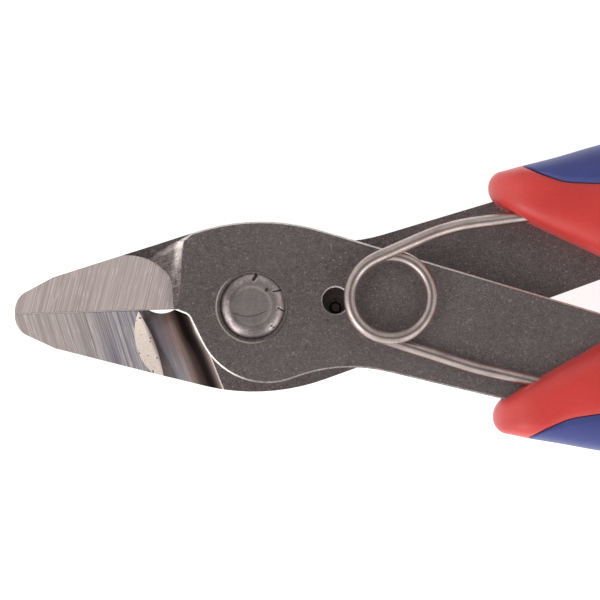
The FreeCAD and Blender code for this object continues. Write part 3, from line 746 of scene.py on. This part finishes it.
def leg_points(start, corner, end):
    """A spring leg: two straight runs and the round bend between them."""
    into = (corner - start) / np.linalg.norm(corner - start)
    out = (end - corner) / np.linalg.norm(end - corner)
    turn = math.acos(into @ out)
    back = LEG_BEND_R * math.tan(turn / 2)
    side = (out - into) / np.linalg.norm(out - into)
    centre = corner + side * LEG_BEND_R / math.cos(turn / 2)
    first, last = corner - into * back, corner + out * back
    points = run_points(start, first)
    count = max(3, round(LEG_BEND_R * turn / WIRE_STEP))
    for i in range(count):
        t = i / count
        arm = (first - centre) * math.sin((1 - t) * turn) + (last - centre) * math.sin(t * turn)
        points.append(centre + arm / math.sin(turn))
    return points + run_points(last, end) + [end]


def spring_path():
    """The wire's centre line, from the end of the lower leg round the loop to the end of the upper leg."""
    sweep = math.radians(540 - UPPER_LEG_ANGLE - LOWER_LEG_ANGLE)
    start = math.radians(270 - LOWER_LEG_ANGLE)
    loop = []
    for i in range(LOOP_STEPS + 1):
        turned = sweep * i / LOOP_STEPS
        angle = start - turned
        z = LOOP_LOW_Z + LOOP_PITCH * turned / (2 * math.pi)
        loop.append((LOOP_X + LOOP_R * math.cos(angle), LOOP_Y + LOOP_R * math.sin(angle), z))
    loop = np.array(loop)
    lower = leg_points(loop[0], *np.array(LOWER_LEG))
    upper = leg_points(loop[-1], *np.array(UPPER_LEG))
    path = np.array(lower[::-1] + list(loop[1:]) + upper[1:])
    for _ in range(6):
        path[1:-1] = (path[:-2] + 2 * path[1:-1] + path[2:]) / 4
    return path


def tube(path, radius, around):
    """Rings of points round a path, carried along it without twisting."""
    ahead = np.gradient(path, axis=0)
    ahead /= np.linalg.norm(ahead, axis=1)[:, None]
    side = np.cross(ahead[0], (0, 0, 1))
    angle = np.linspace(0, 2 * math.pi, around, endpoint=False)
    rings = []
    for point, direction in zip(path, ahead):
        side = side - (side @ direction) * direction
        side = side / np.linalg.norm(side)
        up = np.cross(side, direction)
        rings.append(point + radius * (np.outer(np.cos(angle), side) + np.outer(np.sin(angle), up)))
    return np.array(rings)


def make_spring(material):
    path = spring_path()
    rings = tube(path, WIRE_R, WIRE_POINTS)
    piece = mesh_piece("spring", rings.reshape(-1, 3), skin_faces(len(path), WIRE_POINTS), material)
    length = np.concatenate([[0], np.cumsum(np.linalg.norm(np.diff(path, axis=0), axis=1))])
    layer = piece.data.uv_layers.new(name="run")
    for loop in piece.data.loops:
        ring, place = divmod(loop.vertex_index, WIRE_POINTS)
        layer.data[loop.index].uv = (length[ring], 2 * abs(place / WIRE_POINTS - 0.5))
    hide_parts("opening_spring")
    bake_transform(piece)


# ---------------------------------------------------------------- grips

outer_line = through(
    (GRIP_X0, 12.0), (23.8, 12.15), (25.85, 12.62), (28.95, 13.3), (33, 14.35), (38, 15.5), (46, 17.4),
    (54, 19.1), (62, 20.15), (69, 20.35), (79, 19.4), (88, 17.2), (95.5, 14.9), (GRIP_X1, 12.6),
)
inner_line = through(
    (GRIP_X0, 9.2), (23.6, 8.9), (25.9, 7.56), (28.0, 6.47), (31.5, 4.72), (34.0, 3.50), (36.2, 2.95),
    (38.5, 3.35), (46, 5.75), (54, 8.1), (62, 9.4), (69, 9.72), (79, 9.0), (88, 7.65), (95.5, 6.75),
    (GRIP_X1, 7.2),
)
half_line = through((GRIP_X0, 4.6), (26, 5.5), (31, 5.95), (40, 6.0), (88, 5.98), (96, 5.8), (GRIP_X1, 5.2))
seam_line = through(
    (SEAM_X0, 12.72), (28.0, 11.75), (30.5, 10.95), (34.5, 10.75), (40, 11.8), (52, 14.4), (60, 15.45),
    (68, 15.8), (76, 15.3), (84, 13.9), (96, 11.2), (GRIP_X1, 9.7),
)


def grip_section(x):
    """Middle, half width and half thickness of the grip's section at x."""
    nose = quarter_round((x - GRIP_X0) / NOSE_TIP)
    tail = quarter_round((GRIP_X1 - x) / TAIL_ROUND)
    top = NOSE_Y + (outer_line(x) - NOSE_Y) * nose
    foot = NOSE_Y + (inner_line(x) - NOSE_Y) * nose
    top = TAIL_Y + (top - TAIL_Y) * tail
    foot = TAIL_Y + (foot - TAIL_Y) * tail
    half = half_line(x) * nose_round((x - GRIP_X0) / NOSE_ROUND) * tail
    return (top + foot) / 2, (top - foot) / 2, half


def grip_power(x):
    """Exponent of the superellipse that the section at x is."""
    return NOSE_POWER + (GRIP_POWER - NOSE_POWER) * smoothstep(x, *POWER_X)


def section_points(x, angle, inset):
    """Points of the grip's surface at x, sunk by an inset. Angle 0 is outermost, a half turn is innermost."""
    middle, width, half = grip_section(x)
    c, s = np.cos(angle), np.sin(angle)
    across = np.sign(c) * np.abs(c) ** (2 / grip_power(x)) * width
    up = np.sign(s) * np.abs(s) ** (2 / grip_power(x)) * half
    size = np.maximum(np.hypot(across, up), 1e-6)
    kept = np.maximum(1 - inset / size, 0.02)
    return np.stack([x + 0 * across, middle + across * kept, up * kept], axis=-1)


def seam_angle(x, shift):
    """Angle at which the seam crosses the section at x; 0 in front of where the seam begins."""
    middle, width, _ = grip_section(x)
    share = np.clip((seam_line(x) + shift - middle) / np.maximum(width, 1e-6), -1, 1)
    angle = np.arccos(np.sign(share) * np.abs(share) ** (grip_power(x) / 2))
    return np.where(x < SEAM_X0, 0.0, angle)


def crowded(count):
    """Numbers from 0 to 1, closer together at both ends."""
    t = np.linspace(0, 1, count)
    return 0.5 - 0.5 * np.cos(math.pi * t)


def lip_inset(x, angle, edge):
    """How far the surface rolls in beside the seam."""
    _, width, half = grip_section(x)
    away = np.abs(np.abs(angle) - edge) * np.maximum(np.minimum(width, half), 0.5)
    roll = LIP_DEPTH * np.clip(1 - away / LIP_WIDTH, 0, 1) ** 2
    return roll * smoothstep(edge, 0.0, 0.25)


def covered_inset(angle, edge, depth):
    """How far a surface that the overlay covers lies below the grip's surface, less where the seam begins."""
    return depth * smoothstep(edge, 0.0, 0.4) + 0 * angle


def core_rings(stations):
    """Rings of the core: its own surface, and a lower one where the overlay covers it."""
    x = stations[:, None]
    edge = seam_angle(x, -SEAM_GAP)
    shown = np.clip(np.linspace(0, 2 * math.pi, CORE_POINTS)[None, :], edge, 2 * math.pi - edge)
    folded = np.where(shown > math.pi, 2 * math.pi - shown, shown)
    own = section_points(x, shown, lip_inset(x, folded, edge))
    hidden = -edge + 2 * edge * crowded(UNDER_POINTS)[None, 1:-1]
    under = section_points(x, hidden, covered_inset(hidden, edge, SKIN))
    return np.concatenate([own, under], axis=1)


def overlay_rings(stations):
    """Rings of the overlay: its outer face, then back along its inner face."""
    x = stations[:, None]
    edge = seam_angle(x, SEAM_GAP)
    angle = -edge + 2 * edge * crowded(OVERLAY_POINTS)[None, :]
    face = section_points(x, angle, lip_inset(x, angle, edge))
    inside = section_points(x, angle[:, ::-1], covered_inset(angle, edge, SKIN - SKIN_GAP))
    return np.concatenate([face, inside], axis=1)


def lowered(points):
    """The same grip on the lower handle, whose nose stands a little further out."""
    x = points[..., 0]
    near = 1 - smoothstep(x, *LOWER_DROP_X)
    return np.stack([x - LOWER_LEAD * near, -points[..., 1] - LOWER_DROP * near, points[..., 2]], axis=-1)


def make_grips(red, blue):
    core_stations = GRIP_X0 + (GRIP_X1 - GRIP_X0) * crowded(CORE_STATIONS)
    overlay_stations = SEAM_X0 + (GRIP_X1 - SEAM_X0) * crowded(OVERLAY_STATIONS)
    parts = [
        ("core", core_rings(core_stations), red, "grip_red"),
        ("overlay", overlay_rings(overlay_stations), blue, "grip_blue"),
    ]
    for side, body in (("upper", "back_half"), ("lower", "front_half")):
        for part, rings, material, slot in parts:
            points = rings if side == "upper" else lowered(rings)
            count, around = points.shape[:2]
            faces = skin_faces(count, around)
            piece = mesh_piece(f"{side}_{part}", points.reshape(-1, 3), faces, material)
            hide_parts(f"{side}_grip_{part}")
            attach(piece, body)


# ---------------------------------------------------------------- levers

def between(value, ends):
    return ends[0] < value < ends[1]


def lever_finish(polygon, jaw_side):
    """Which finish a facet of a lever has. jaw_side is 1 on the lever with the upper jaw, -1 on the other."""
    x, y, z = polygon.center / MM
    normal = polygon.normal
    front, up = z * jaw_side, normal.z * jaw_side
    steep = abs(normal.z) < 0.97
    if math.hypot(x, y) < SINK_R and abs(z) < SINK_TOP_Z and steep:
        return "sink"
    if math.hypot(x, y) < SINK_EDGE_R and steep:
        return "sink_edge"
    if math.hypot(x - WINDOW_X, y - WINDOW_Y) < WINDOW_R and steep:
        return "window"
    on_shoulder = between(x, SHOULDER_X) and between(z, SHOULDER_Z) and y > SHOULDER_FOOT_Y
    shoulder = jaw_side > 0 and on_shoulder and 0.1 < normal.z < 0.9995
    if front > PLATE - 0.2 and 0.5 < up < 0.9 and not (shoulder and abs(normal.y) < 0.4):
        return "edge"
    if x > JAW_X:
        return "tumbled"
    ground_rise = abs(normal.x) < 0.003 and normal.z > 0.99 and z > GROUND_Z
    if ground_rise and abs(normal.y) > 0.03:
        return "ground"
    if x < BEVEL_X and normal.z < -0.3 and abs(normal.y) > 0.4:
        return "ground"
    if shoulder:
        return "rim" if normal.y > 0.3 else "shoulder"
    from_ball = math.dist((x, y, z), CREST_BALL)
    if jaw_side < 0 and abs(from_ball - CREST_BALL_R) < 0.03:
        return "crest"
    lean = math.radians(GROOVE_LEAN)
    u = -x * math.sin(lean) + jaw_side * y * math.cos(lean)
    if math.hypot(u - GROOVE_U, -front - GROOVE_Z) < GROOVE_R + 0.05 and -front > -0.3:
        return "milled"
    return "tumbled"


def finish_levers():
    finishes = {
        "tumbled": tumbled_steel(),
        "milled": milled_steel(),
        "crest": crest_steel(),
        "edge": edge_painted_highlight(),
        "sink_edge": sink_edge(),
        "shoulder": shoulder_steel(),
        "rim": rim_steel(),
        "sink": bore_steel("sink_steel", srgb(116, 106, 106), srgb(176, 164, 162)),
        # painted shade: the window's wall is coloured as dark as the inside of the hole
        "window": bore_steel("window_painted_shade", srgb(48, 42, 44), srgb(88, 78, 80)),
    }
    upper = ground_steel("ground_upper", GRIND_LEAN, 0.0)
    lower = ground_steel("ground_lower", -GRIND_LEAN, 1.0)
    for node, jaw_side, ground in (("front_lever", 1, upper), ("back_lever", -1, lower)):
        finishes["ground"] = ground
        names = list(finishes)
        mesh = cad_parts[node].data
        mesh.materials.clear()
        for name in names:
            mesh.materials.append(finishes[name])
        for polygon in mesh.polygons:
            polygon.material_index = names.index(lever_finish(polygon, jaw_side))


def finish_pin():
    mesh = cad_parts["stop_pin"].data
    mesh.materials.clear()
    mesh.materials.append(pin_steel())


# ---------------------------------------------------------------- stage

def make_camera():
    data = bpy.data.cameras.new("camera")
    data.sensor_width = SENSOR
    data.lens = SENSOR * VIEW_DISTANCE / VIEW_WIDTH
    camera = bpy.data.objects.new("camera", data)
    camera.location = (VIEW_X * MM, VIEW_Y * MM, (PLATE + VIEW_DISTANCE) * MM)
    camera.rotation_euler = (0, 0, math.radians(VIEW_ROLL))
    bpy.context.scene.collection.objects.link(camera)
    bpy.context.scene.camera = camera


def make_world():
    """White light from all round, and a dark patch straight above, as where a camera hangs."""
    world = bpy.data.worlds.new("studio")
    world.use_nodes = True
    bpy.context.scene.world = world
    g = Graph(world.node_tree)
    direction = g.add("ShaderNodeTexCoord", {}).outputs["Generated"]
    unit = g.add("ShaderNodeVectorMath", {0: direction}, operation="NORMALIZE").outputs[0]
    x, y, z = g.split(unit)
    shade_z = math.cos(math.radians(SHADE_HALF_ANGLE))
    sky_z = math.cos(math.radians(SKY_HALF_ANGLE))
    open_sky = g.fit(z, shade_z, sky_z, SHADE_LIGHT, SKY_LIGHT, smooth=True)
    low = g.calc("SUBTRACT", 1.0, z)
    lean = g.plus(g.times(x, SKY_LEAN_X), g.times(y, SKY_LEAN_Y))
    side = g.plus(1.0, g.times(low, lean))
    strength = g.times(open_sky, side)
    shade = g.add("ShaderNodeBackground", {"Color": (1.0, 0.985, 0.975, 1.0), "Strength": strength})
    g.add("ShaderNodeOutputWorld", {"Surface": shade.outputs[0]})


def make_floor():
    low = cad_box[0].z - FLOOR_GAP
    signs = [(-1, -1), (1, -1), (1, 1), (-1, 1)]
    corners = [(a * FLOOR_HALF, b * FLOOR_HALF, low) for a, b in signs]
    mesh = bpy.data.meshes.new("floor")
    mesh.from_pydata(corners, [], [(0, 1, 2, 3)])
    floor = bpy.data.objects.new("floor", mesh)
    bpy.context.scene.collection.objects.link(floor)
    material, g = new_material("floor_white")
    diffuse = g.add("ShaderNodeBsdfDiffuse", {"Color": (0.62, 0.62, 0.62, 1.0)})
    glow = g.add("ShaderNodeEmission", {"Color": (1.0, 1.0, 1.0, 1.0), "Strength": 0.80})
    both = g.add("ShaderNodeAddShader", {0: diffuse.outputs[0], 1: glow.outputs[0]})
    g.add("ShaderNodeOutputMaterial", {"Surface": both.outputs[0]})
    mesh.materials.append(material)


def make_softbox(name, place, size, power):
    """A square area light, aimed at the joint."""
    data = bpy.data.lights.new(name, "AREA")
    data.size = size
    data.energy = power
    light = bpy.data.objects.new(name, data)
    light.location = place
    light.rotation_euler = (-Vector(place)).to_track_quat("-Z", "Y").to_euler()
    bpy.context.scene.collection.objects.link(light)


def make_stage():
    make_camera()
    make_world()
    make_floor()
    for box in SOFTBOXES:
        make_softbox(*box)
    bpy.context.scene.view_settings.view_transform = "Standard"


make_stage()
finish_levers()
finish_pin()
make_rivet(rivet_steel())
make_spring(spring_wire())
make_grips(
    moulded_grip("grip_red", srgb(186, 46, 44), srgb(214, 66, 60), 0.42, 0.05),
    moulded_grip("grip_blue", srgb(40, 48, 108), srgb(66, 76, 144), 0.55, 0.10),
)
